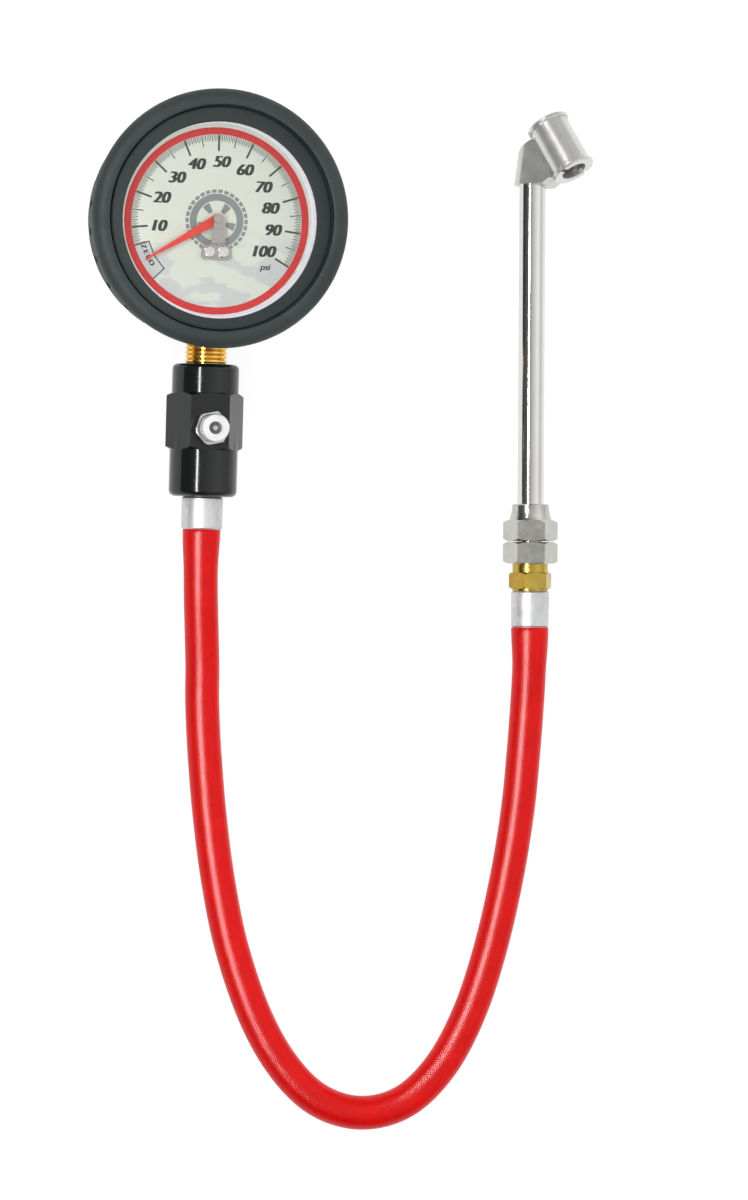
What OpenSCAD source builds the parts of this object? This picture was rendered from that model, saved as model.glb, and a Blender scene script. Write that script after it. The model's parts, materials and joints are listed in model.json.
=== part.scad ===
// Tire pressure gauge with rubber boot, bleed valve, hose and dual foot chuck.
// Units are millimetres. The gauge lies on its back: +Z is out of the dial, +Y is twelve o'clock,
// and the origin is the middle of the boot's flat back.

/* [Gauge] */
// radius of the boot's front bead
boot_radius = 42.3; // [40:0.1:45]
// height of the boot
boot_height = 38; // [34:0.5:42]
// outer radius of the metal case
case_radius = 34; // [32:0.1:36]
// number of grip grooves around the boot
grip_count = 26; // [20:1:32]
// top face of the dial above the back
dial_top = 27.7; // [26:0.1:29]
// length of the pointer from the hub
pointer_length = 27.5; // [25:0.1:28]
// clock angle of zero on the dial, from twelve o'clock
zero_angle = -120.5; // [-125:0.5:-110]

/* [Valve] */
// height of the stem axis above the back
stem_z = 13.5; // [12:0.1:15]
// start of the valve body below the dial centre
valve_start = 47; // [44:0.5:50]
// length of the valve body
valve_length = 43.5; // [40:0.5:48]
// wrench size of the valve body
valve_flats = 22.2; // [20:0.1:24]
// radius of the button's cap
button_radius = 4.65; // [4:0.05:6]
// travel of the button
button_travel = 2; // [1:0.1:2.5]

/* [Hose] */
// outer diameter of the hose
hose_diameter = 11.3; // [10:0.1:13]

/* [Chuck] */
// outer radius of the chuck tube
tube_radius = 4.4; // [4:0.1:5]
// distance from the hose's end to the chuck head's block
head_start = 147; // [120:1:170]
// angle between the head's barrel and the tube
barrel_angle = 34.5; // [25:0.5:45]
// radius of the head's barrel
barrel_radius = 6.6; // [6:0.1:7.5]
// length of the head's barrel over both end rings
barrel_length = 19.6; // [16:0.1:22]
// roll of the head about the tube
head_roll = 48; // [0:1:90]

/* [Hidden] */
$fn = 72;
fine = 128;

bead_r = 4.1;
case_wall = 0.8;
case_inner = case_radius - case_wall;
case_top = 34.7;
lens_low = 32.0;
lens_high = 34.0;
plate_gap_low = 20.0;
plate_gap_high = 24.8;
plate_thick = 1.0;
arbor_r = 0.8;
run_gap = 0.05;
gear_module = 0.4;
pinion_teeth = 12;
sector_teeth = 60;
sector_x = 6.5;
gear_distance = gear_module * (pinion_teeth + sector_teeth) / 2;
sector_y = -sqrt(gear_distance * gear_distance - sector_x * sector_x);
mesh_angle = atan2(-sector_y, -sector_x);
sector_swing = 48.4;
tail_length = 5;
tail_angle = -90 - sector_swing / 2;
tail_x = sector_x + tail_length * cos(tail_angle);
tail_y = sector_y + tail_length * sin(tail_angle);
tip_x = 17.5;
tip_y = -14.5;
tube_loop_r = 24;
bridge_y = -10.7;
bridge_holes = [-2.3, 2.3];
fixing_x = [-4, 1];
thread_r = 6.85;
thread_pitch = 1.4;
thread_rings = 8;
valve_corner_r = valve_flats / 2 / cos(30);
hex_low = 9.5;
hex_high = 28.3;
flat_z = stem_z + valve_flats / 2;
button_y = -68.2;
cross_bore_r = 3.6;
cross_floor = 6;
bush_low = 17.2;
bush_high = 29.4;
cap_low = 32.6;
cap_high = 35.6;
ferrule_start = valve_start + valve_length;
ferrule_long = 10.8;
hose_start = ferrule_start + ferrule_long;
hose_r = hose_diameter / 2;
chuck_end = [112, -130.7, 8.6];
chuck_lean = 1.2;
fitting_turn = 5;
nut_turn = -10;
spigot_r = 4.0;
barrel_x = 11.4;
barrel_t = 11.8;
head_half = 5.2;
ring_thick = 1.6;
stem_bore_r = 4.2;
seat_r = 5.2;
seat_depth = 5.2;
pocket_r = 2.7;
pocket_depth = 8.0;

// route of the hose's centre, from the gauge to the chuck
route = [[0, -101.3, 13.5], [0, -110, 13.5], [0.5, -122, 12.2], [1.5, -134, 9.8], [2.5, -146, 7.4],
    [3, -158, 6], [4.2, -174, 5.7], [6.5, -195, 5.7], [10, -217, 5.7], [15.2, -239, 5.7],
    [23.5, -261, 5.7], [33.5, -277.5, 5.7], [45.5, -288.5, 5.7], [60, -292.5, 5.7],
    [74.5, -288.5, 5.7], [86.5, -276.5, 5.7], [95.5, -259, 5.7], [102, -238, 5.7], [107, -214, 5.7],
    [110.2, -191, 5.7], [111.6, -172, 5.7], [112.2, -158, 6.3], [112.3, -148, 7.5],
    [112.2, -139, 8.5], [112, -130.7, 8.6]];

rubber = [0.22, 0.25, 0.27];
steel = [0.72, 0.73, 0.74];
brass = [0.83, 0.62, 0.25];
black = [0.12, 0.12, 0.13];
red = [0.8, 0.05, 0.04];

function arc(x, y, r, a0, a1, n = 8) = [for (i = [0:n]) let (a = a0 + (a1 - a0) * i / n)
    [x + r * cos(a), y + r * sin(a)]];

module ring(r_in, r_out, z0, z1) {
    translate([0, 0, z0]) difference() {
        cylinder(r = r_out, h = z1 - z0);
        translate([0, 0, -1]) cylinder(r = r_in, h = z1 - z0 + 2);
    }
}

module stem_frame(h = 0) {
    translate([0, -h, stem_z]) rotate([90, 0, 0]) children();
}

module chuck_frame(t = 0) {
    translate(chuck_end) rotate([0, 0, chuck_lean]) rotate([-90, 0, 0]) translate([0, 0, t])
        children();
}

module head_frame() {
    chuck_frame(head_start) rotate([0, 0, -head_roll]) children();
}

// the foot's own frame: origin at its end face, +Z into the barrel; side 0 is the front foot
module foot_frame(side) {
    head_frame() translate([barrel_x, 0, barrel_t]) rotate([0, 180 * side - barrel_angle, 0])
        translate([0, 0, -barrel_length / 2]) children();
}

// hexagon with both ends chamfered like a nut
module nut(r, z0, z1, turn = 0, edge_share = 0.86) {
    edge = r * edge_share;
    drop = r * (1 - edge_share) * 0.6;
    intersection() {
        translate([0, 0, z0]) rotate([0, 0, turn]) cylinder(r = r, h = z1 - z0, $fn = 6);
        rotate_extrude($fn = fine) polygon([[0, z0], [edge, z0], [r + 0.01, z0 + drop],
            [r + 0.01, z1 - drop], [edge, z1], [0, z1]]);
    }
}

// gear outline with narrow teeth, from tooth number first to last
module gear_teeth(count, first, last, at = 0) {
    pitch_r = gear_module * count / 2;
    root = pitch_r - 0.9 * gear_module;
    tip = pitch_r + 0.75 * gear_module;
    half = 0.32 * gear_module * PI / 2;
    for (i = [first:last]) rotate([0, 0, at + i * 360 / count])
        polygon([[root - 0.3, -1.5 * half], [root, -1.5 * half], [tip, -0.6 * half],
            [tip, 0.6 * half], [root, 1.5 * half], [root - 0.3, 1.5 * half]]);
}

// round wire wound along +Z
module coil(r, wire, turns, high, steps = 14, sides = 6) {
    n = turns * steps;
    points = [for (i = [0:n]) let (a = 360 * i / steps, z = wire + (high - 2 * wire) * i / n)
        for (k = [0:sides - 1]) let (b = 360 * k / sides)
            [(r + wire * cos(b)) * cos(a), (r + wire * cos(b)) * sin(a), z + wire * sin(b)]];
    faces = concat([[for (k = [0:sides - 1]) k]],
        [for (i = [0:n - 1], k = [0:sides - 1]) let (q = (k + 1) % sides)
            [i * sides + k, (i + 1) * sides + k, (i + 1) * sides + q, i * sides + q]],
        [[for (k = [sides - 1:-1:0]) n * sides + k]]);
    polyhedron(points, faces, convexity = 8);
}

module rubber_boot() {
    color(rubber) difference() {
        rotate_extrude($fn = fine) polygon(concat(
            [[0, 0], [33.5, 0]], arc(35.2, 3.4, 3.4, -78, -8, 6),
            [[39.2, 6], [39.2, 23], [39.4, 28]],
            arc(boot_radius - bead_r, boot_height - bead_r, bead_r, -52, 107, 16),
            [[36.9, 34.8], [36.5, 34.4], [36.15, 35.3], [32.4, 35.6], [31, 35.5], [31, 34.8],
                [case_radius + 0.15, 34.8], [case_radius + 0.15, 3.1], [0, 3.1]]));
        for (i = [0:grip_count - 1]) rotate([0, 0, (i + 0.5) * 360 / grip_count])
            translate([40.4, 0, 4.5]) cylinder(r = 2.1, h = 18, $fn = 24);
        translate([-0.3, -0.6, 34]) cylinder(r1 = 31.9, r2 = 32.15, h = 2, $fn = fine);
        stem_frame(25) cylinder(r = 8, h = 20);
    }
}

module case_cup() {
    color(steel) difference() {
        union() {
            ring(case_inner, case_radius, 3.2, case_top);
            translate([0, 0, 3.2]) cylinder(r = case_radius - 0.2, h = case_wall, $fn = fine);
        }
        stem_frame(25) cylinder(r = thread_r + 0.3, h = 12);
    }
}

module snap_ring() {
    color(steel) difference() {
        ring(32.6, case_inner - 0.05, 34.1, 34.6);
        translate([-1, 30, 34]) cube([2, 5, 1]);
    }
}

module lens_gasket() {
    color(black) ring(32.6, case_inner - 0.1, 31.6, 31.95);
}

module lens() {
    color([0.85, 0.9, 0.9, 0.25]) rotate_extrude($fn = fine) polygon([[0, lens_low],
        [33.0, lens_low], [33.0, lens_high - 0.5], [32.5, lens_high], [0, lens_high]]);
}

module spacer_ring() {
    color([0.88, 0.88, 0.86]) rotate_extrude($fn = fine) polygon([[31.3, dial_top + 0.05],
        [33.0, dial_top + 0.05], [33.0, 31.55], [32.0, 31.55]]);
}

module dial_plate() {
    color([0.88, 0.88, 0.8]) difference() {
        translate([0, 0, dial_top - 0.8]) cylinder(r = 32.8, h = 0.8, $fn = fine);
        translate([0, 0, dial_top - 2]) cylinder(r = 1.8, h = 4);
        for (x = bridge_holes) translate([x, bridge_y, dial_top - 2])
            cylinder(r = 0.8, h = 4, $fn = 24);
    }
}

module pointer_bridge() {
    top = 30.4;
    color(steel) difference() {
        union() {
            translate([0, 0, dial_top]) linear_extrude(0.7) polygon([[-2.4, -7.3], [-2.5, -8.2],
                [-4.9, -9.5], [-5.1, -12.4], [-4.2, -13.3], [4.2, -13.3], [5.1, -12.4],
                [4.9, -9.5], [2.5, -8.2], [2.4, -7.3]]);
            translate([-2.4, -8.0, dial_top]) cube([4.8, 0.7, top + 0.7 - dial_top]);
            translate([0, 0, top]) linear_extrude(0.7) polygon([[-2.4, -8], [2.4, -8],
                [1.6, -2.6], [1.5, -0.6], [-1.5, -0.6], [-1.6, -2.6]]);
            translate([0, 0, top]) cylinder(r = 1.7, h = 1.1);
        }
        translate([0, 0, top - 1]) cylinder(r = 0.55, h = 4, $fn = 24);
        for (x = bridge_holes) translate([x, bridge_y, dial_top - 1])
            cylinder(r = 0.8, h = 3, $fn = 24);
    }
}

module bridge_screws() {
    color(steel) for (x = bridge_holes) translate([x, bridge_y, 0]) difference() {
        union() {
            translate([0, 0, dial_top + 0.7]) cylinder(r1 = 1.9, r2 = 1.6, h = 0.9, $fn = 36);
            translate([0, 0, plate_gap_high]) cylinder(r = 0.7, h = 4, $fn = 24);
        }
        rotate([0, 0, x < 0 ? 70 : -35]) translate([-2, -0.25, dial_top + 1.2]) cube([4, 0.5, 1]);
    }
}

module pointer() {
    color([0.9, 0.25, 0.1]) rotate([0, 0, -zero_angle]) difference() {
        union() {
            translate([0, 0, 28.9]) linear_extrude(0.5) polygon([[-1.65, 0.6], [1.65, 0.6],
                [0.2, pointer_length], [-0.2, pointer_length]]);
            translate([0, 0, 28.5]) cylinder(r = 1.65, h = 1.6, $fn = 36);
        }
        translate([0, 0, 28]) cylinder(r = arbor_r, h = 3, $fn = 36);
    }
}

module pinion_arbor() {
    pitch_r = gear_module * pinion_teeth / 2;
    color(brass) {
        translate([0, 0, 19.1]) cylinder(r = arbor_r, h = 11, $fn = 36);
        translate([0, 0, 30.1]) cylinder(r = 0.5, h = 1.2, $fn = 24);
        translate([0, 0, 20.2]) cylinder(r = 1.2, h = 1.0, $fn = 36);
        translate([0, 0, 21.2]) linear_extrude(1.8) {
            circle(r = pitch_r - 0.9 * gear_module, $fn = 48);
            gear_teeth(pinion_teeth, 0, pinion_teeth - 1, mesh_angle - 180 + 180 / pinion_teeth);
        }
    }
}

module plate_outline() {
    polygon([[-11, -20], [8.5, -20], [12.5, -16], [12.5, 4], [9.5, 7], [-9.5, 7], [-12.5, 4],
        [-12.5, -18.5]]);
}

module plate_holes() {
    circle(r = arbor_r + run_gap, $fn = 36);
    translate([sector_x, sector_y]) circle(r = arbor_r + run_gap, $fn = 36);
}

pillars = [[-10.2, 4], [10.2, 4], [-10.2, -17], [10.6, -10]];

module movement_front_plate() {
    color(brass) translate([0, 0, plate_gap_high]) linear_extrude(plate_thick) difference() {
        plate_outline();
        plate_holes();
        for (x = bridge_holes) translate([x, bridge_y]) circle(r = 0.7, $fn = 24);
    }
}

module movement_back_plate() {
    color(brass) translate([0, 0, plate_gap_low - plate_thick]) linear_extrude(plate_thick)
        difference() {
            plate_outline();
            plate_holes();
            for (x = fixing_x) translate([x, -16.5]) circle(r = 0.9, $fn = 24);
        }
}

module movement_pillars() {
    color(brass) for (p = pillars) translate([p[0], p[1], plate_gap_low])
        cylinder(r = 1.3, h = plate_gap_high - plate_gap_low, $fn = 36);
}

module movement_screws() {
    color(steel) for (x = fixing_x) translate([x, -16.5, 0]) difference() {
        union() {
            translate([0, 0, plate_gap_low]) cylinder(r = 1.6, h = 1, $fn = 36);
            translate([0, 0, 15.5]) cylinder(r = 0.9, h = 5, $fn = 24);
        }
        translate([-2, -0.2, plate_gap_low + 0.5]) cube([4, 0.4, 1]);
    }
}

module sector_gear() {
    pitch_r = gear_module * sector_teeth / 2;
    color(brass) translate([sector_x, sector_y, 21.6]) linear_extrude(1) difference() {
        union() {
            circle(r = 2, $fn = 36);
            polygon(concat([[0, 0]], arc(0, 0, pitch_r - 0.9 * gear_module,
                mesh_angle - sector_swing - 7, mesh_angle + 7, 24)));
            gear_teeth(sector_teeth, -9, 1, mesh_angle);
            rotate([0, 0, tail_angle]) translate([0, -1.4]) square([tail_length + 1, 2.8]);
            rotate([0, 0, tail_angle]) translate([tail_length + 0.6, 0]) circle(r = 1.4, $fn = 36);
        }
        circle(r = arbor_r, $fn = 36);
        translate([tail_x - sector_x, tail_y - sector_y]) circle(r = 0.75, $fn = 24);
    }
}

module sector_arbor() {
    color(steel) translate([sector_x, sector_y, 19.1]) cylinder(r = arbor_r, h = 6.6, $fn = 36);
}

module hairspring() {
    turns = 3.5;
    n = 84;
    inner = [for (i = [0:n]) let (a = 360 * turns * i / n, r = 1.7 + 3.1 * i / n)
        [(r - 0.08) * cos(a), (r - 0.08) * sin(a)]];
    outer = [for (i = [n:-1:0]) let (a = 360 * turns * i / n, r = 1.7 + 3.1 * i / n)
        [(r + 0.08) * cos(a), (r + 0.08) * sin(a)]];
    color(steel) translate([0, 0, 20.3]) linear_extrude(0.6) polygon(concat(inner, outer));
}

module link_shape() {
    difference() {
        union() {
            for (p = [[tail_x, tail_y], [tip_x, tip_y]]) translate(p) circle(r = 1.3, $fn = 36);
            polygon([[tail_x, tail_y - 0.8], [tip_x, tip_y - 0.8], [tip_x, tip_y + 0.8],
                [tail_x, tail_y + 0.8]]);
        }
        for (p = [[tail_x, tail_y], [tip_x, tip_y]]) translate(p) circle(r = 0.7, $fn = 24);
    }
}

module link() {
    color(steel) translate([0, 0, 22.8]) linear_extrude(0.7) link_shape();
}

module link_pins() {
    color(brass) for (p = [[tail_x, tail_y], [tip_x, tip_y]]) translate([p[0], p[1], 21.3])
        cylinder(r = 0.7, h = 2.5, $fn = 24);
}

module bourdon_tube() {
    color(brass) translate([0, 0, stem_z]) rotate([0, 0, -20]) rotate_extrude(angle = 274, $fn = fine)
        difference() {
            translate([tube_loop_r - 1.7, -5]) square([3.4, 10]);
            translate([tube_loop_r - 1.25, -4.5]) square([2.5, 9]);
        }
}

module tip_piece() {
    color(brass) difference() {
        union() {
            translate([0, 0, stem_z]) rotate([0, 0, -27]) rotate_extrude(angle = 7, $fn = fine)
                translate([tube_loop_r - 1.9, -5.2]) square([3.8, 10.4]);
            translate([20.4, -13, stem_z]) cube([3.6, 2.4, 9.1]);
            translate([15.6, -17, 21.6]) cube([8.4, 6.4, 1]);
        }
        for (x = [0, 4.2]) translate([tip_x + x, tip_y, 21]) cylinder(r = 0.85, h = 3, $fn = 24);
        translate([tip_x - 0.2, tip_y - 1.35, 21]) cube([4.6, 1.9, 3]);
        translate([tip_x, tip_y - 0.85, 21]) cube([4.2, 1.7, 3]);
    }
}

module stem_socket() {
    groove = thread_pitch;
    first = 36;
    color(brass) difference() {
        union() {
            translate([-6.5, -31, stem_z - 5.2]) cube([13, 19, 10.7]);
            stem_frame(30.5) rotate_extrude() polygon(concat([[0, 0], [thread_r, 0]],
                [for (i = [0:thread_rings - 1]) for (k = [0:2])
                    [[thread_r, thread_r, thread_r - 0.75][k],
                        first - 30.5 + (i + [0, 0.4, 0.7][k]) * groove]],
                [[thread_r, 28], [0, 28]]));
        }
        stem_frame(20) cylinder(r = 2, h = 60);
        for (x = fixing_x) translate([x, -16.5, 15]) cylinder(r = 0.9, h = 6, $fn = 24);
    }
}

module valve_body() {
    r_up = 11;
    r_low = 11.2;
    up_edge = 1.7;
    low_edge = 2;
    color(black) difference() {
        union() {
            stem_frame(valve_start) rotate_extrude($fn = fine) polygon(concat([[0, 0]],
                arc(r_up - up_edge, up_edge, up_edge, -90, 0, 6), [[r_up, hex_low + 1],
                [r_low, hex_high - 1]],
                arc(r_low - low_edge, valve_length - low_edge, low_edge, 0, 90, 6),
                [[0, valve_length]]));
            stem_frame(valve_start) nut(valve_corner_r, hex_low, hex_high);
        }
        stem_frame(valve_start) translate([0, 0, -1]) cylinder(r = thread_r, h = 13);
        stem_frame(valve_start) cylinder(r = 2, h = valve_length - 2, $fn = 36);
        stem_frame(valve_start) translate([0, 0, valve_length - 9]) cylinder(r = 4, h = 12);
        translate([0, button_y, cross_floor]) cylinder(r = cross_bore_r, h = 30);
    }
}

module bleed_bush() {
    color(steel) translate([0, button_y, 0]) difference() {
        union() {
            nut(5.9, flat_z, bush_high, 12, 0.93);
            translate([0, 0, bush_low]) cylinder(r = cross_bore_r, h = flat_z - bush_low + 0.5);
        }
        translate([0, 0, bush_low - 1]) cylinder(r = 1.6, h = 20, $fn = 36);
        translate([0, 0, bush_high - 1.4]) cylinder(r = 2.5, h = 5, $fn = 36);
    }
}

module bleed_button() {
    cap = button_radius;
    color(steel) translate([0, button_y, 0]) rotate_extrude() polygon([[0, 14.6], [1.5, 14.6],
        [1.5, 30.4], [2.3, 30.4], [2.3, cap_low], [cap - 0.3, cap_low], [cap, cap_low + 0.3],
        [cap, cap_high - 0.4], [cap - 0.4, cap_high], [2.1, cap_high], [2.1, cap_high - 1.6],
        [1.0, cap_high - 1.6], [1.0, cap_high - 0.5], [0.8, cap_high - 0.3],
        [0, cap_high - 0.3]]);
}

module bleed_poppet() {
    color(brass) translate([0, button_y, 0]) ring(1.5, 3.1, 14.6, 16.1);
}

module bleed_seal() {
    color(black) translate([0, button_y, 0]) ring(1.5, 3.1, 16.1, 17.1);
}

module button_spring() {
    color(steel) translate([0, button_y, cross_floor + 0.05]) coil(2.4, 0.3, 5, 8.45);
}

module barb(length) {
    rotate_extrude($fn = 48) polygon([[1.5, 0], [3.0, 0], [2.5, length * 0.3], [3.0, length * 0.35],
        [2.5, length * 0.6], [3.0, length * 0.65], [2.3, length], [1.5, length]]);
}

module barb_gauge_side() {
    color(brass) {
        stem_frame(ferrule_start) ring(1.5, 4, -8.8, 0);
        stem_frame(ferrule_start) barb(ferrule_long - 0.3);
    }
}

// crimped ferrule: open end at z = length, with a flange that the barb's shoulder holds
module ferrule(length, r0, r1) {
    edge = 0.6;
    rotate_extrude($fn = 96) polygon([[4.05, 0.05], [r0 - edge, 0.05], [r0, edge],
        [r1, length - edge], [r1 - edge, length], [5.7, length], [5.7, 0.9], [4.05, 0.9]]);
}

module hose_tail_gauge_side() {
    color(red) stem_frame(ferrule_start) ring(3.05, 5.65, 1.0, ferrule_long);
}

module ferrule_gauge_side() {
    color(steel) stem_frame(ferrule_start) ferrule(ferrule_long, 6.8, 6.75);
}

// smooth curve through the route's points, two steps between each pair
function before(i) = i > 0 ? route[i - 1] : 2 * route[0] - route[1];
function after(i) = i < len(route) - 1 ? route[i + 1] : 2 * route[i] - route[i - 1];
function middle(i) = (9 * (route[i] + route[i + 1]) - before(i) - after(i + 1)) / 16;
curve = [for (i = [0:2 * len(route) - 2]) i % 2 == 0 ? route[i / 2] : middle((i - 1) / 2)];
function along(i) = let (d = curve[min(i + 1, len(curve) - 1)] - curve[max(i - 1, 0)]) d / norm(d);
function across(i) = let (c = cross(along(i), [0, 0, 1])) c / norm(c);

module hose() {
    sides = 12;
    n = len(curve);
    points = [for (i = [0:n - 1]) let (u = across(i), v = cross(u, along(i)))
        for (k = [0:sides - 1]) let (a = 360 * k / sides)
            curve[i] + hose_r * (cos(a) * u + sin(a) * v)];
    faces = concat([[for (k = [sides - 1:-1:0]) k]],
        [for (i = [0:n - 2], k = [0:sides - 1]) let (q = (k + 1) % sides)
            [i * sides + k, i * sides + q, (i + 1) * sides + q, (i + 1) * sides + k]],
        [[for (k = [0:sides - 1]) (n - 1) * sides + k]]);
    color(red) polyhedron(points, faces, convexity = 6);
}

module hose_tail_chuck_side() {
    color(red) chuck_frame() ring(3.05, 5.65, 0, 11.2);
}

module ferrule_chuck_side() {
    color(steel) chuck_frame(12.2) rotate([180, 0, 0]) ferrule(12.2, 6.35, 6.2);
}

module hose_fitting() {
    color(brass) chuck_frame() difference() {
        union() {
            translate([0, 0, 12.4]) rotate([180, 0, 0]) barb(12);
            translate([0, 0, 12.2]) cylinder(r = 6.0, h = 1);
            nut(7.35, 12.8, 18.3, fitting_turn);
            translate([0, 0, 18]) cylinder(r = 5.9, h = 3.15);
            translate([0, 0, 20]) cylinder(r = 3, h = 2.8);
        }
        translate([0, 0, -1]) cylinder(r = 1.5, h = 30, $fn = 36);
    }
}

module swivel_body() {
    color(steel) chuck_frame() difference() {
        nut(9.05, 21.2, 28.4, nut_turn);
        translate([0, 0, 20]) cylinder(r = 3, h = 2.8);
        translate([0, 0, 20]) cylinder(r = 2, h = 5);
        translate([0, 0, 23.2]) cylinder(r = spigot_r + run_gap, h = 8);
    }
}

module swivel_seal() {
    color(black) chuck_frame(25) rotate_extrude() translate([3.5, 0]) circle(r = 0.48, $fn = 24);
}

module swivel_clip() {
    color(steel) chuck_frame() difference() {
        ring(3.3, spigot_r, 26.8, 27.3);
        translate([2.5, -0.6, 26]) cube([3, 1.2, 2]);
    }
}

module tube_nut() {
    color(steel) chuck_frame() difference() {
        union() {
            nut(9.05, 28.7, 35.6, nut_turn);
            rotate_extrude() polygon([[0, 35], [7.15, 35], [7.15, 35.6], [6.85, 36.4],
                [6.45, 37.8], [6.2, 39.2], [6.1, 40.6], [5.8, 40.9], [0, 40.9]]);
            rotate_extrude() polygon([[0, 23.5], [spigot_r, 23.5], [spigot_r, 24.4], [3.0, 24.4],
                [3.0, 25.6], [spigot_r, 25.6], [spigot_r, 26.7], [3.3, 26.7], [3.3, 27.4],
                [spigot_r, 27.4], [spigot_r, 28.8], [0, 28.8]]);
        }
        translate([0, 0, 33]) cylinder(r = tube_radius, h = 10);
        translate([0, 0, 20]) cylinder(r = 2, h = 20, $fn = 36);
    }
}

module chuck_tube() {
    color(steel) chuck_frame() ring(3, tube_radius, 33, head_start + 8);
}

module chuck_head() {
    color(steel) difference() {
        intersection() {
            head_frame() hull() for (p = [[-1.3, -2], [1.2, 15]]) translate([p[0], 0, p[1]]) {
                cylinder(r = head_half, h = 0.01);
                translate([0, -head_half, 0]) cube([12, 2 * head_half, 0.01]);
            }
            head_frame() rotate([90, 0, 0]) linear_extrude(12, center = true)
                polygon([[-7, -1.8], [4.6, -1.8], [10.4, 1.8], [11.4, 11.8], [3.4, 14.6],
                    [2.1, 14.1], [0.8, 13.4], [-0.6, 12.5], [-2.2, 11.2], [-3.4, 9.8],
                    [-4.8, 7.6], [-6.4, 4]]);
        }
        head_frame() translate([0, 0, -0.75]) rotate([-8.2, 0, 0]) translate([-20, -20, -20])
            cube([40, 40, 20]);
        head_frame() translate([0, 0, -3]) cylinder(r = tube_radius, h = 11);
        head_frame() cylinder(r = 1.5, h = 9.5, $fn = 36);
        head_frame() translate([0, 0, 9]) rotate([0, 76, 0]) cylinder(r = 1.2, h = 11.6, $fn = 24);
        foot_frame(0) translate([0, 0, -8]) cylinder(r = barrel_radius, h = barrel_length + 16);
        for (side = [0, 1]) foot_frame(side) translate([0, 0, -8])
            cylinder(r = 7.6, h = 8 + ring_thick + 0.01);
    }
}

module chuck_barrel() {
    color(steel) difference() {
        foot_frame(0) translate([0, 0, ring_thick + 0.02])
            cylinder(r = barrel_radius, h = barrel_length - 2 * ring_thick - 0.04);
        head_frame() translate([0, 0, 9]) rotate([0, 76, 0]) cylinder(r = 1.2, h = 11.6, $fn = 24);
        for (side = [0, 1]) foot_frame(side) {
            cylinder(r = seat_r, h = seat_depth);
            cylinder(r = pocket_r, h = pocket_depth, $fn = 48);
            cylinder(r = 1.2, h = 9, $fn = 24);
        }
    }
}

module foot_ring(side) {
    color(steel) foot_frame(side) difference() {
        rotate_extrude($fn = 96) polygon([[stem_bore_r, 0.2], [stem_bore_r + 0.3, 0],
            [6.9, 0], [7.3, 0.4], [7.3, 1.3], [7.0, ring_thick], [seat_r, ring_thick],
            [seat_r, 3.3], [stem_bore_r, 3.3]]);
        for (i = [0, 1]) rotate([0, 0, i * 180 + 90 + 40 * side]) translate([3, -0.75, -1])
            cube([5, 1.5, 2.2]);
    }
}

module foot_ring_front() { foot_ring(0); }
module foot_ring_rear() { foot_ring(1); }

module foot_seal(side) {
    color(black) foot_frame(side) ring(1.6, seat_r - 0.05, 3.35, seat_depth - 0.05);
}

module foot_seal_front() { foot_seal(0); }
module foot_seal_rear() { foot_seal(1); }

module foot_plunger(side) {
    color(brass) foot_frame(side) rotate_extrude($fn = 48) polygon([[0, 3.6], [1.0, 3.6],
        [1.3, 3.9], [1.3, 5.3], [2.62, 5.3], [2.62, 5.8], [0.7, 5.8], [0.7, 7.0], [0, 7.0]]);
}

module foot_plunger_front() { foot_plunger(0); }
module foot_plunger_rear() { foot_plunger(1); }

module check_spring(side) {
    color(steel) foot_frame(side) translate([0, 0, 5.85]) coil(1.9, 0.15, 3, 2.1);
}

module check_spring_front() { check_spring(0); }
module check_spring_rear() { check_spring(1); }

rubber_boot();
case_cup();
snap_ring();
lens_gasket();
lens();
spacer_ring();
dial_plate();
pointer_bridge();
bridge_screws();
pointer();
pinion_arbor();
movement_front_plate();
movement_back_plate();
movement_pillars();
movement_screws();
sector_gear();
sector_arbor();
hairspring();
link();
link_pins();
bourdon_tube();
tip_piece();
stem_socket();
valve_body();
bleed_bush();
bleed_button();
bleed_poppet();
bleed_seal();
button_spring();
barb_gauge_side();
hose_tail_gauge_side();
ferrule_gauge_side();
hose();
ferrule_chuck_side();
hose_tail_chuck_side();
hose_fitting();
swivel_body();
swivel_seal();
swivel_clip();
tube_nut();
chuck_tube();
chuck_head();
chuck_barrel();
foot_ring_front();
foot_ring_rear();
foot_seal_front();
foot_seal_rear();
foot_plunger_front();
foot_plunger_rear();
check_spring_front();
check_spring_rear();
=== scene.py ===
import json
import math

import bmesh
import bpy
from mathutils import Matrix, Vector


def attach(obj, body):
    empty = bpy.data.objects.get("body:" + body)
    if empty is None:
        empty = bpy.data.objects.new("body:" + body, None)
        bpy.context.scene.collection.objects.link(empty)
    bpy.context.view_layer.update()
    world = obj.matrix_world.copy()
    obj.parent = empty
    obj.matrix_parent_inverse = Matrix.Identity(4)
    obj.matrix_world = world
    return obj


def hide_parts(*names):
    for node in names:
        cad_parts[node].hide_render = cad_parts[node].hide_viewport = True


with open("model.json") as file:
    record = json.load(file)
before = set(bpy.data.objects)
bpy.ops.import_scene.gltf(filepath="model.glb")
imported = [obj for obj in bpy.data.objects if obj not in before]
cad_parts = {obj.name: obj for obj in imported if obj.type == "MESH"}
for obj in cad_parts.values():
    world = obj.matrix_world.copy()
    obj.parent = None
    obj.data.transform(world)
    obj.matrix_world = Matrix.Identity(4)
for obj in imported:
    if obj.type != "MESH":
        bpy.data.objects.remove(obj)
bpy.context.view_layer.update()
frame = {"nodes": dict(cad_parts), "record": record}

MM = 0.001
NODES = frame["nodes"]
scene = bpy.context.scene


# ------------------------------------------------------------------ camera
CAMERA_DISTANCE = 2.5
CAMERA_TARGET = Vector((58.9, -122.9, 10)) * MM
CAMERA_YAW, CAMERA_PITCH, CAMERA_ROLL = (math.radians(v) for v in (11.0, -0.15, 1.52))


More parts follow.
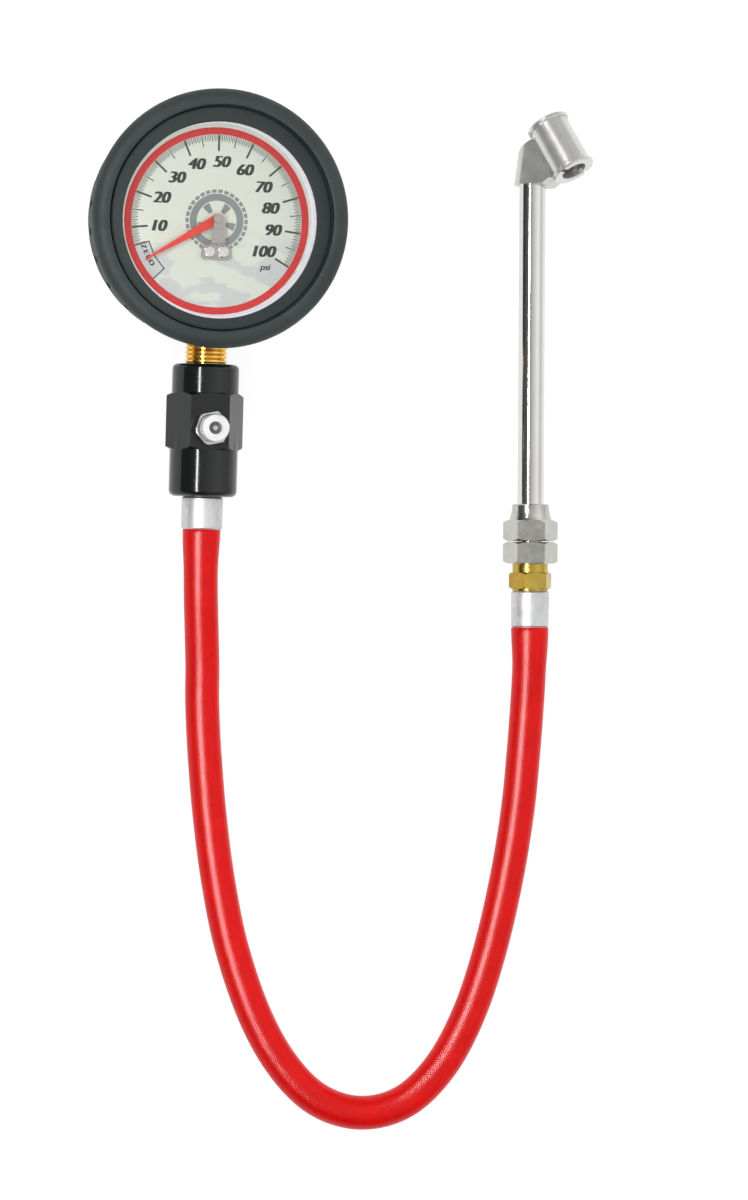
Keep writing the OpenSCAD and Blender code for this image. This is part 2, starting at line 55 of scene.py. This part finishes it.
def place_camera():
    """A long lens over the table; yaw looks a little across the dial, roll turns the picture."""
    ahead = Vector((math.sin(CAMERA_YAW), 0, -math.cos(CAMERA_YAW)))
    ahead = Matrix.Rotation(CAMERA_PITCH, 3, "X") @ ahead
    level = ahead.cross(Vector((0, 1, 0))).normalized()
    upright = level.cross(ahead)
    right = level * math.cos(CAMERA_ROLL) + upright * math.sin(CAMERA_ROLL)
    up = -level * math.sin(CAMERA_ROLL) + upright * math.cos(CAMERA_ROLL)
    pose = Matrix((right, up, -ahead)).transposed().to_4x4()
    pose.translation = CAMERA_TARGET - ahead * CAMERA_DISTANCE
    camera = bpy.data.objects.new("camera", bpy.data.cameras.new("camera"))
    scene.collection.objects.link(camera)
    camera.matrix_world = pose
    camera.data.sensor_width = 36
    camera.data.lens = 227.3
    camera.data.clip_start, camera.data.clip_end = 0.05, 20
    scene.camera = camera


place_camera()


# --------------------------------------------------------------- materials
def rgb(r, g, b):
    """sRGB 0-255 to linear."""
    return [((c / 255) / 12.92 if c <= 10 else ((c / 255 + 0.055) / 1.055) ** 2.4)
            for c in (r, g, b)]


class Graph:
    """A material's node tree with short helpers; lengths in it are metres."""

    def __init__(self, name):
        self.mat = bpy.data.materials.new(name)
        self.mat.use_nodes = True
        self.tree = self.mat.node_tree
        self.tree.nodes.clear()
        self.out = self.node("ShaderNodeOutputMaterial")
        self.bsdf = self.node("ShaderNodeBsdfPrincipled")
        self.link(self.bsdf, "BSDF", self.out, "Surface")

    def node(self, kind, **props):
        n = self.tree.nodes.new(kind)
        for key, value in props.items():
            setattr(n, key, value)
        return n

    def link(self, a, out, b, into):
        self.tree.links.new(a.outputs[out], b.inputs[into])

    def set(self, socket, value):
        self.bsdf.inputs[socket].default_value = value

    def base_colour(self, mixed):
        """Feeds a mix node's colour to the surface."""
        self.tree.links.new(mixed.outputs[2], self.bsdf.inputs["Base Color"])

    def mapping(self, coords="Object", **values):
        m = self.node("ShaderNodeMapping")
        for socket, value in values.items():
            m.inputs[socket].default_value = value
        self.link(self.node("ShaderNodeTexCoord"), coords, m, "Vector")
        return m

    def radius(self, source):
        """Distance from the Z axis of a mapped point whose Z is zero."""
        far = self.node("ShaderNodeVectorMath", operation="LENGTH")
        self.link(source, "Vector", far, 0)
        return far

    def noise(self, scale, detail=3.0, rough=0.5):
        m = self.mapping(Scale=scale if hasattr(scale, "__len__") else (scale,) * 3)
        n = self.node("ShaderNodeTexNoise")
        n.inputs["Scale"].default_value = 1.0
        n.inputs["Detail"].default_value = detail
        n.inputs["Roughness"].default_value = rough
        self.link(m, "Vector", n, "Vector")
        return n

    def spread(self, source, out, lo, hi, from_lo=0.3, from_hi=0.7):
        """Maps from_lo..from_hi to lo..hi, clamped."""
        n = self.node("ShaderNodeMapRange")
        n.inputs["From Min"].default_value = from_lo
        n.inputs["From Max"].default_value = from_hi
        n.inputs["To Min"].default_value = lo
        n.inputs["To Max"].default_value = hi
        self.link(source, out, n, "Value")
        return n

    def math(self, operation, a, b):
        """Two (node, output) pairs, or a pair and a number."""
        n = self.node("ShaderNodeMath", operation=operation)
        for socket, v in enumerate((a, b)):
            if isinstance(v, tuple):
                self.link(v[0], v[1], n, socket)
            else:
                n.inputs[socket].default_value = v
        return n

    def mix(self, fac, out, a, b):
        """a and b are linear colours or (node, output) pairs."""
        n = self.node("ShaderNodeMix", data_type="RGBA", blend_type="MIX")
        self.link(fac, out, n, 0)
        for socket, v in ((6, a), (7, b)):
            if isinstance(v, tuple):
                self.tree.links.new(v[0].outputs[v[1]], n.inputs[socket])
            else:
                n.inputs[socket].default_value = (*v, 1)
        return n

    def patches(self, scale, a, b, detail=4):
        """Soft drifting between two colours."""
        return self.mix(self.spread(self.noise(scale, detail), "Fac", 0, 1), "Result", a, b)

    def roughness(self, scale, lo, hi, detail=5, rough=0.6):
        uneven = self.noise(scale, detail, rough)
        self.link(self.spread(uneven, "Fac", lo, hi), "Result", self.bsdf, "Roughness")

    def bump(self, height, out, strength, distance, after=None):
        n = self.node("ShaderNodeBump")
        n.inputs["Strength"].default_value = strength
        n.inputs["Distance"].default_value = distance
        self.link(height, out, n, "Height")
        if after is not None:
            self.link(after, "Normal", n, "Normal")
        self.link(n, "Normal", self.bsdf, "Normal")
        return n


def finish_material(name, base, rough, metal=0.0, shade=0.06, patch=90, rough_vary=0.05,
                    grain=2500, grain_depth=0.00002, grain_strength=0.15, coat=0.0,
                    specular=0.5, stretch=(1, 1, 1), painted_glow=0.0):
    """Base colour with soft patches, uneven roughness, a fine grain and an optional painted glow.
    """
    g = Graph(name)
    g.base_colour(g.patches([patch * s for s in stretch], [c * (1 - shade) for c in base],
                            [min(1, c * (1 + shade)) for c in base]))
    g.roughness([patch * 3.1 * s for s in stretch],
                max(0.01, rough - rough_vary), min(1, rough + rough_vary))
    g.bump(g.noise([grain * s for s in stretch], 2), "Fac", grain_strength, grain_depth)
    g.set("Metallic", metal)
    g.set("Coat Weight", coat)
    g.set("Coat Roughness", 0.05)
    g.set("Specular IOR Level", specular)
    # painted light: emission makes the part glow though it is no lamp
    if painted_glow:
        g.set("Emission Color", (*base, 1))
        g.set("Emission Strength", painted_glow)
    return g.mat


def boot_material():
    """Dark rubber; the recessed flat flange inside the bead is painted darker as painted shade, and
    faint dust lies on it all.
    """
    flange_edge = 0.0362, 0.0366
    g = Graph("boot_rubber")
    # painted shade: inside flange_edge the recessed flange takes the darker colours
    flange_shade_mask = g.spread(g.radius(g.mapping(Scale=(1, 1, 0))), "Value", 0, 1, *flange_edge)
    drift = g.spread(g.noise(60, 4), "Fac", 0, 1)
    bead = g.mix(drift, "Result", rgb(45, 55, 54), rgb(54, 65, 64))
    # darker tones of the same rubber, painted shade for the recess
    flange_painted_shade = g.mix(drift, "Result", rgb(38, 48, 47), rgb(43, 53, 52))
    both = g.mix(flange_shade_mask, "Result", (flange_painted_shade, 2), (bead, 2))
    dust = g.spread(g.noise(900, 3, 0.7), "Fac", 0, 0.35, 0.66, 0.8)
    g.base_colour(g.mix(dust, "Result", (both, 2), rgb(120, 126, 124)))
    g.roughness(180, 0.5, 0.66)
    wave = g.bump(g.noise(260, 2), "Fac", 0.12, 0.0002)
    g.bump(g.noise(3500, 2), "Fac", 0.25, 0.00004, after=wave)
    g.set("Specular IOR Level", 0.34)
    return g.mat


def dial_material():
    """Pale greenish white with faint grey drifting shapes in the lower part."""
    shapes_full, shapes_gone = -0.012, -0.003
    g = Graph("dial_face")
    xyz = g.node("ShaderNodeSeparateXYZ")
    g.link(g.node("ShaderNodeTexCoord"), "Object", xyz, 0)
    low = g.spread(xyz, "Y", 1, 0, shapes_full, shapes_gone)
    shapes = g.spread(g.noise((70, 150, 1), 2, 0.45), "Fac", 0, 1, 0.49, 0.53)
    both = g.math("MULTIPLY", (low, "Result"), (shapes, "Result"))
    faint = g.math("MULTIPLY", (both, "Value"), 0.8)
    paper = g.patches(40, rgb(214, 221, 207), rgb(222, 226, 212), detail=3)
    g.base_colour(g.mix(faint, "Value", (paper, 2), rgb(196, 200, 200)))
    g.set("Roughness", 0.4)
    g.bump(g.noise(4000, 2), "Fac", 0.06, 0.00001)
    return g.mat


def hose_material():
    """Red rubber with the imprint of a fine cloth wrap; U runs round the hose and V along it."""
    thread_turn, threads_scale = 0.9, 420
    g = Graph("hose_red")
    threads = []
    for turn in (thread_turn, -thread_turn):
        w = g.node("ShaderNodeTexWave", wave_type="BANDS", bands_direction="X")
        w.inputs["Scale"].default_value = threads_scale
        w.inputs["Distortion"].default_value = 1.5
        w.inputs["Detail"].default_value = 1
        g.link(g.mapping("UV", Rotation=(0, 0, turn)), "Vector", w, "Vector")
        threads.append((w, "Fac"))
    weave = g.math("ADD", *threads)
    g.base_colour(g.patches(120, rgb(214, 2, 1), rgb(226, 5, 3)))
    g.roughness(500, 0.27, 0.34, detail=4, rough=0.5)
    cloth = g.bump(weave, "Value", 0.32, 0.00008)
    g.bump(g.noise(2500, 3), "Fac", 0.2, 0.00004, after=cloth)
    g.set("Specular IOR Level", 0.16)
    return g.mat


def button_material():
    """Turned nickel cap with a grey pin in its middle; the hole round the pin is painted near black
    as painted shade.
    """
    button_y = -68.2 * MM
    pin_edge = 0.00085, 0.00105
    hole_edge = 0.00202, 0.00216
    g = Graph("button_face")
    flat = g.node("ShaderNodeVectorMath", operation="MULTIPLY")
    flat.inputs[1].default_value = (1, 1, 0)
    g.link(g.mapping(Location=(0, -button_y, 0)), "Vector", flat, 0)
    far = g.radius(flat)
    outside = g.spread(far, "Value", 0, 1, *hole_edge)
    ring = g.spread(far, "Value", 0, 1, *pin_edge)
    # painted shade: between the pin and the hole's edge the recess is painted near black
    painted_hole_shade = g.mix(ring, "Result", [0.5, 0.5, 0.5], [0.16, 0.16, 0.16])
    clean = g.patches(120, [0.8, 0.81, 0.8], [0.88, 0.89, 0.88])
    g.base_colour(g.mix(outside, "Result", (painted_hole_shade, 2), (clean, 2)))
    g.roughness(400, 0.34, 0.46)
    g.bump(g.noise(2500, 2), "Fac", 0.1, 0.00002)
    g.set("Metallic", 0.9)
    return g.mat


def lens_material():
    """Almost invisible clear plastic."""
    g = Graph("clear_lens")
    g.set("Base Color", (0.93, 0.97, 0.95, 1))
    g.set("Alpha", 0.03)
    g.roughness(60, 0.03, 0.07, detail=3, rough=0.5)
    return g.mat


MATS = {
    "boot_rubber": boot_material(),
    "dial_face": dial_material(),
    "button_face": button_material(),
    "hose_red": hose_material(),
    "clear_lens": lens_material(),
}

# name: base colour, roughness, and what differs from finish_material's usual values
FINISHES = {
    "case_steel": ([0.03] * 3, 0.35, dict(coat=0.3)),
    "spring_steel": ([0.55, 0.56, 0.57], 0.25, dict(metal=1)),
    "black_rubber": ([0.015, 0.015, 0.016], 0.6, dict(grain_strength=0.3)),
    # the white ring's glow is painted light that lifts its shaded inner wall
    "white_ring": (rgb(228, 234, 242), 0.3, dict(shade=0.02, painted_glow=0.34)),
    "bridge_steel": (rgb(178, 172, 168), 0.26, dict(metal=1, stretch=(1, 6, 1), shade=0.12)),
    "needle_red": (rgb(232, 46, 28), 0.4, dict(shade=0.05, specular=0.2)),
    "movement_brass": ([0.72, 0.5, 0.2], 0.3, dict(metal=1, stretch=(8, 1, 1))),
    "stem_brass": ([0.8, 0.53, 0.14], 0.2,
                   dict(metal=1, shade=0.14, patch=160, rough_vary=0.08)),
    "black_metal": ([0.009, 0.0105, 0.011], 0.13,
                    dict(shade=0.1, rough_vary=0.03, specular=0.42, grain_strength=0.05)),
    "chrome_steel": ([0.66, 0.655, 0.635], 0.1,
                     dict(metal=1, shade=0.04, rough_vary=0.03, grain_strength=0.06, patch=60)),
    "head_chrome": ([0.68, 0.675, 0.65], 0.33,
                    dict(metal=0.8, shade=0.06, rough_vary=0.03, grain_strength=0.03,
                         patch=110)),
    "head_block": ([0.6, 0.6, 0.57], 0.3,
                   dict(metal=0.62, shade=0.12, rough_vary=0.04, grain_strength=0.05, patch=80)),
    "ferrule_metal": ([0.62, 0.625, 0.63], 0.5,
                      dict(metal=0.85, shade=0.1, patch=260, rough_vary=0.1, grain=1500,
                           grain_strength=0.2, grain_depth=0.00003)),
    "nickel": ([0.48, 0.475, 0.44], 0.2,
               dict(metal=1, shade=0.08, rough_vary=0.06, grain_strength=0.1, patch=140)),
    "fitting_brass": ([0.47, 0.33, 0.065], 0.24,
                      dict(metal=1, shade=0.16, patch=170, rough_vary=0.08)),
    "screw_steel": ([0.8, 0.79, 0.77], 0.16, dict(metal=1, shade=0.1, patch=500)),
    "print_dark": (rgb(34, 35, 33), 0.5, dict(shade=0.1)),
    "print_grey": (rgb(126, 133, 131), 0.5, dict(shade=0.06)),
    "print_pale": (rgb(196, 198, 196), 0.5, dict(shade=0.04)),
    "print_red": (rgb(213, 25, 24), 0.4, dict(shade=0.05, specular=0.12)),
}
for finish, (base, rough, rest) in FINISHES.items():
    MATS[finish] = finish_material(finish, base, rough, **rest)

# CAD nodes whose look differs from their material slot's
OWN_LOOK = {
    "chuck_head": "head_block", "chuck_barrel": "head_chrome",
    "foot_ring_front": "head_chrome", "foot_ring_rear": "head_chrome",
    "foot_plunger_front": "nickel", "foot_plunger_rear": "nickel",
    "hose_fitting": "fitting_brass", "bridge_screws": "screw_steel",
    "bleed_button": "button_face",
}


def paint(obj, mat):
    obj.data.materials.clear()
    obj.data.materials.append(MATS[mat])


for part in frame["record"]["subparts"]:
    paint(NODES[part["node"]], OWN_LOOK.get(part["node"], part["material_slot"]))


# CAD nodes with rounded corners: width in millimetres
SOFT_EDGES = {
    "valve_body": 0.25, "swivel_body": 0.22, "tube_nut": 0.22, "hose_fitting": 0.2,
    "chuck_head": 0.6, "chuck_barrel": 0.4, "foot_ring_front": 0.2, "foot_ring_rear": 0.2,
    "bleed_bush": 0.15, "bleed_button": 0.12, "pointer_bridge": 0.1, "bridge_screws": 0.08,
    "pointer": 0.05,
}
SHARP_ANGLE = math.radians(32)


def soften(node, width):
    """Rounded edges on a CAD node's sharp corners."""
    mod = NODES[node].modifiers.new("soften", "BEVEL")
    mod.width = width * MM
    mod.segments = 3
    mod.limit_method = "ANGLE"
    mod.angle_limit = SHARP_ANGLE
    mod.use_clamp_overlap = True


for node, width in SOFT_EDGES.items():
    soften(node, width)


def new_object(name, bm, body, mat, smooth):
    """Turns a bmesh into a painted piece that rides on a body."""
    mesh = bpy.data.meshes.new(name)
    bm.to_mesh(mesh)
    bm.free()
    obj = bpy.data.objects.new(name, mesh)
    scene.collection.objects.link(obj)
    for p in mesh.polygons:
        p.use_smooth = smooth
    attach(obj, body)
    paint(obj, mat)
    return obj


# -------------------------------------------------------------------- hose
# the CAD hose's route in millimetres, from the valve to the brass fitting
ROUTE = [
    (0, -101.3, 13.5), (0, -110, 13.5), (0.5, -122, 12.2), (1.5, -134, 9.8),
    (2.5, -146, 7.4), (3, -158, 6), (4.2, -174, 5.7), (6.5, -195, 5.7),
    (10, -217, 5.7), (15.2, -239, 5.7), (23.5, -261, 5.7), (33.5, -277.5, 5.7),
    (45.5, -288.5, 5.7), (60, -292.5, 5.7), (74.5, -288.5, 5.7), (86.5, -276.5, 5.7),
    (95.5, -259, 5.7), (102, -238, 5.7), (107, -214, 5.7), (110.2, -191, 5.7),
    (111.6, -172, 5.7), (112.2, -158, 6.3), (112.3, -148, 7.5), (112.2, -139, 8.5),
    (112, -130.7, 8.6),
]
HOSE_DIAMETER = 0.0113
HOSE_RADIUS = 5.63 * MM
FLARE, FLARE_LENGTH = 0.6 * MM, 15 * MM
HOSE_SIDES = 40
ROUTE_STEPS = 6


def smooth_route(points):
    """A Catmull-Rom curve through the points."""
    p = [Vector(q) * MM for q in points]
    full = [p[0] * 2 - p[1], *p, p[-1] * 2 - p[-2]]
    line = []
    for a, b, c, d in zip(full, full[1:], full[2:], full[3:]):
        for k in range(ROUTE_STEPS):
            t = k / ROUTE_STEPS
            line.append(0.5 * (2 * b + (c - a) * t + (2 * a - 5 * b + 4 * c - d) * t * t
                               + (3 * b - a - 3 * c + d) * t ** 3))
    line.append(p[-1])
    return line


def build_hose():
    """A tube along the route, flared at both ends where the ferrules grip it."""
    line = smooth_route(ROUTE)
    along = [0.0]
    for a, b in zip(line, line[1:]):
        along.append(along[-1] + (b - a).length)
    total = along[-1]
    bm = bmesh.new()
    uv = bm.loops.layers.uv.new("UVMap")
    rings = []
    for i, centre in enumerate(line):
        ahead = (line[min(i + 1, len(line) - 1)] - line[max(i - 1, 0)]).normalized()
        side = ahead.cross(Vector((0, 0, 1))).normalized()
        up = side.cross(ahead)
        near = min(1.0, min(along[i], total - along[i]) / FLARE_LENGTH)
        r = HOSE_RADIUS + FLARE * (1 - near * near * (3 - 2 * near))
        angles = [2 * math.pi * k / HOSE_SIDES for k in range(HOSE_SIDES)]
        rings.append([bm.verts.new(centre + r * (math.cos(a) * side + math.sin(a) * up))
                      for a in angles])
    girth = math.pi * HOSE_DIAMETER
    for i in range(len(rings) - 1):
        for k in range(HOSE_SIDES):
            q = (k + 1) % HOSE_SIDES
            f = bm.faces.new((rings[i][k], rings[i][q], rings[i + 1][q], rings[i + 1][k]))
            corners = ((k, i), (k + 1, i), (k + 1, i + 1), (k, i + 1))
            for loop, (around, ring) in zip(f.loops, corners):
                loop[uv].uv = (girth * around / HOSE_SIDES, along[ring])
    for ring in (rings[0], rings[-1]):
        bm.faces.new(ring)
    bmesh.ops.recalc_face_normals(bm, faces=bm.faces)
    hose = new_object("air_hose", bm, "gauge", "hose_red", smooth=True)
    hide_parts("hose")
    return hose


hose_piece = build_hose()


# -------------------------------------------------------------- dial print
# radii and sizes in millimetres; clock angles in degrees, clockwise from twelve o'clock
PRINT_Z = 27.72
PRINT_SHIFT = Vector((-0.15, -0.6, 0)) * MM
SCALE_LOW, SCALE_HIGH = -120.0, 120.6
RED_INNER, RED_OUTER = 28.2, 30.55
TICK_END = 28.1
BOX_LOW, BOX_HIGH, BOX_INNER = -133.6, -108.4, 23.4
NUMBERS = (
    ("10", -19.45, -2.3), ("20", -18.5, 6.9), ("30", -13.7, 13.6), ("40", -7.3, 18.2),
    ("50", 1.0, 19.2), ("60", 8.7, 16.8), ("70", 14.95, 11.4), ("80", 17.5, 4.6),
    ("90", 18.5, -2.55), ("100", 15.4, -9.6),
)
# every so many half pounds: the radius where the tick starts, and its width
TICKS = ((20, 22.8, 0.66), (10, 24.4, 0.34), (2, 25.9, 0.24), (1, 26.4, 0.2))
ZERO_LETTERS = (("Z", -110.9), ("E", -115.2), ("R", -119.6), ("O", -124.1))


def polar(radius, clock):
    a = math.radians(clock)
    return Vector((radius * MM * math.sin(a), radius * MM * math.cos(a)))


class Print:
    """Flat printed shapes collected into one thin mesh."""

    def __init__(self, level=0.0):
        self.bm = bmesh.new()
        self.z = (PRINT_Z + level) * MM

    def polygon(self, points):
        self.bm.faces.new([self.bm.verts.new((p[0], p[1], self.z)) for p in points])

    def band(self, r0, r1, a0, a1, step=2.0):
        n = max(1, round(abs(a1 - a0) / step))
        for i in range(n):
            b0, b1 = a0 + (a1 - a0) * i / n, a0 + (a1 - a0) * (i + 1) / n
            self.polygon([polar(r0, b0), polar(r1, b0), polar(r1, b1), polar(r0, b1)])

    def stroke(self, a, b, width):
        along = (b - a).normalized()
        across = Vector((-along.y, along.x)) * width * MM / 2
        self.polygon([a - across, b - across, b + across, a + across])

    def line(self, a, b, width):
        """A stroke with square ends, so that two of them meet in a corner."""
        more = (b - a).normalized() * width * MM / 2
        self.stroke(a - more, b + more, width)

    def text(self, words, x, y, size, turn=0.0, shear=0.0, bold=0.0, squeeze=1.0):
        """Letters as flat faces; bold lays three copies side by side."""
        curve = bpy.data.curves.new("words", "FONT")
        curve.body = words
        curve.size = size * MM
        curve.shear = shear
        curve.align_x = "CENTER"
        curve.align_y = "CENTER"
        obj = bpy.data.objects.new("words", curve)
        scene.collection.objects.link(obj)
        bpy.context.view_layer.update()
        mesh = obj.evaluated_get(bpy.context.evaluated_depsgraph_get()).to_mesh()
        place = (Matrix.Translation((x * MM, y * MM, self.z))
                 @ Matrix.Rotation(math.radians(turn), 4, "Z"))
        for step in (-1, 0, 1):
            part = bmesh.new()
            part.from_mesh(mesh)
            part.transform(place @ Matrix.Translation((step * bold * MM, 0, 0))
                           @ Matrix.Diagonal((squeeze, 1, 1, 1)))
            temp = bpy.data.meshes.new("words")
            part.to_mesh(temp)
            part.free()
            self.bm.from_mesh(temp)
            bpy.data.meshes.remove(temp)
        bpy.data.objects.remove(obj)
        bpy.data.curves.remove(curve)

    def done(self, name, mat):
        bmesh.ops.translate(self.bm, verts=self.bm.verts, vec=PRINT_SHIFT)
        for f in self.bm.faces:
            f.normal_update()
            if f.normal.z < 0:
                f.normal_flip()
        return new_object(name, self.bm, "gauge", mat, smooth=False)


def print_scale(marks):
    for half_pounds in range(10, 201):
        clock = SCALE_LOW + (SCALE_HIGH - SCALE_LOW) * half_pounds / 200
        start, width = next((r, w) for every, r, w in TICKS if half_pounds % every == 0)
        marks.stroke(polar(start, clock), polar(TICK_END, clock), width)
    for words, x, y in NUMBERS:
        marks.text(words, x, y, 5.2, shear=0.22, bold=0.34, squeeze=1.04)
    marks.text("psi", 16.4, -14.6, 2.9, shear=0.25, bold=0.12)


def build_dial():
    red = Print()
    red.band(RED_INNER, RED_OUTER, 0, 360)
    red.done("dial_red_band", "print_red")

    marks = Print(0.01)
    print_scale(marks)
    middle = (BOX_LOW + BOX_HIGH) / 2
    corners = [polar(TICK_END, BOX_HIGH), polar(BOX_INNER, BOX_HIGH),
               polar(BOX_INNER + 0.1, middle), polar(BOX_INNER, BOX_LOW),
               polar(TICK_END, BOX_LOW)]
    for a, b in zip(corners, corners[1:]):
        marks.line(a, b, 0.4)
    for letter, clock in ZERO_LETTERS:
        p = polar(25.6, clock) / MM
        marks.text(letter, p.x, p.y, 2.3, turn=180 - clock, bold=0.2)
    marks.done("dial_marks", "print_dark")

    box = Print()
    arc = [polar(TICK_END, BOX_LOW + (BOX_HIGH - BOX_LOW) * i / 8) for i in range(9)]
    box.polygon([corners[3], *arc, corners[1], corners[2]])
    box.done("dial_zero_box", "print_pale")

    wheel = Print()
    wheel.band(6.6, 8.9, 0, 360)
    for i in range(30):
        wheel.band(9.2, 10.3, i * 12 + 1.6, i * 12 + 10.4)
    for i in range(5):
        spoke = 36 + i * 72
        wheel.band(3.2, 6.3, spoke - 12, spoke + 12)
    wheel.done("dial_wheel_glyph", "print_grey")


build_dial()


# --------------------------------------------------------- floor and light
def build_stage():
    """A pale floor just under the object."""
    half, z = 4.0, -0.0002
    mesh = bpy.data.meshes.new("floor")
    mesh.from_pydata([(-half, -half, z), (half, -half, z), (half, half, z), (-half, half, z)],
                     [], [(0, 1, 2, 3)])
    floor = bpy.data.objects.new("floor", mesh)
    scene.collection.objects.link(floor)
    g = Graph("floor")
    g.set("Base Color", (0.3, 0.3, 0.3, 1))
    g.set("Roughness", 0.9)
    g.set("Specular IOR Level", 0.1)
    g.set("Emission Color", (1, 1, 1, 1))
    g.set("Emission Strength", 0.84)
    floor.data.materials.append(g.mat)


# brightness of the surroundings round the Y axis, in degrees from +Z towards +X
ROUND_STOPS = (
    (-180, 0.7), (-139, 0.6), (-114, 0.3), (-104, 0.13), (-85, 0.09), (-60, 0.1),
    (-44, 0.18), (-28, 0.3), (-11, 0.6), (6, 0.85), (24, 1.05), (42, 1.3), (62, 1.0),
    (88, 0.75), (180, 0.6),
)
# and along Y, by the direction's Y part
LENGTH_STOPS = ((-1, 0.1), (-0.78, 0.22), (-0.5, 0.7), (0, 0.92), (0.55, 1.2), (0.8, 0.5),
                (1, 0.15))


def build_world():
    """Soft boxes and darker flats seen in the metal, by direction only."""
    world = bpy.data.worlds.new("studio")
    scene.world = world
    world.use_nodes = True
    t = world.node_tree
    t.nodes.clear()
    out = t.nodes.new("ShaderNodeOutputWorld")
    back = t.nodes.new("ShaderNodeBackground")
    xyz = t.nodes.new("ShaderNodeSeparateXYZ")
    coord = t.nodes.new("ShaderNodeTexCoord")
    turn = t.nodes.new("ShaderNodeMath")
    turn.operation = "ARCTAN2"
    both = t.nodes.new("ShaderNodeMix")
    both.data_type = "RGBA"
    both.blend_type = "MULTIPLY"
    both.inputs[0].default_value = 1
    t.links.new(coord.outputs["Generated"], xyz.inputs[0])
    t.links.new(xyz.outputs["X"], turn.inputs[0])
    t.links.new(xyz.outputs["Z"], turn.inputs[1])

    def ramp(source, low, high, stops, into):
        span = t.nodes.new("ShaderNodeMapRange")
        span.inputs["From Min"].default_value = low
        span.inputs["From Max"].default_value = high
        t.links.new(source, span.inputs["Value"])
        r = t.nodes.new("ShaderNodeValToRGB")
        while len(r.color_ramp.elements) < len(stops):
            r.color_ramp.elements.new(0.5)
        for e, (at, v) in zip(r.color_ramp.elements, stops):
            e.position = (at - low) / (high - low)
            e.color = (v, v, v, 1)
        t.links.new(span.outputs["Result"], r.inputs["Fac"])
        t.links.new(r.outputs["Color"], both.inputs[into])

    round_stops = [(math.radians(a), v) for a, v in ROUND_STOPS]
    ramp(turn.outputs[0], -math.pi, math.pi, round_stops, 6)
    ramp(xyz.outputs["Y"], -1, 1, LENGTH_STOPS, 7)
    t.links.new(both.outputs[2], back.inputs["Color"])
    t.links.new(back.outputs["Background"], out.inputs["Surface"])
    back.inputs["Strength"].default_value = 1.0


LIGHT_AIM = Vector((0.06, -0.12, 0))


def area(name, at, size, power, shine=False, diffuse=True, only=None):
    """A rectangular lamp; shine shows it in glossy surfaces, only limits it to one piece."""
    data = bpy.data.lights.new(name, "AREA")
    data.shape = "RECTANGLE"
    data.size, data.size_y = size
    data.energy = power
    light = bpy.data.objects.new(name, data)
    scene.collection.objects.link(light)
    light.location = at
    light.rotation_euler = (LIGHT_AIM - Vector(at)).to_track_quat("-Z", "Y").to_euler()
    light.visible_glossy = shine
    light.visible_diffuse = diffuse
    if only:
        lit = bpy.data.collections.new(name + "_lit")
        lit.objects.link(only)
        light.light_linking.receiver_collection = lit


build_stage()
build_world()
area("key", (-0.9, 1.2, 2.2), (1.6, 1.2), 3)
area("fill", (1.6, -0.6, 1.8), (1.4, 1.4), 3)
area("strip", (-0.576, -0.12, 1.018), (1.4, 0.1), 7.6, shine=True)
area("glint", (-0.58, -0.12, 1.026), (1.4, 0.1), 9, shine=True, diffuse=False)
area("hose_streak", (-0.585, -0.12, 1.035), (1.4, 0.3), 60, shine=True, diffuse=False,
     only=hose_piece)
scene.view_settings.view_transform = "Standard"
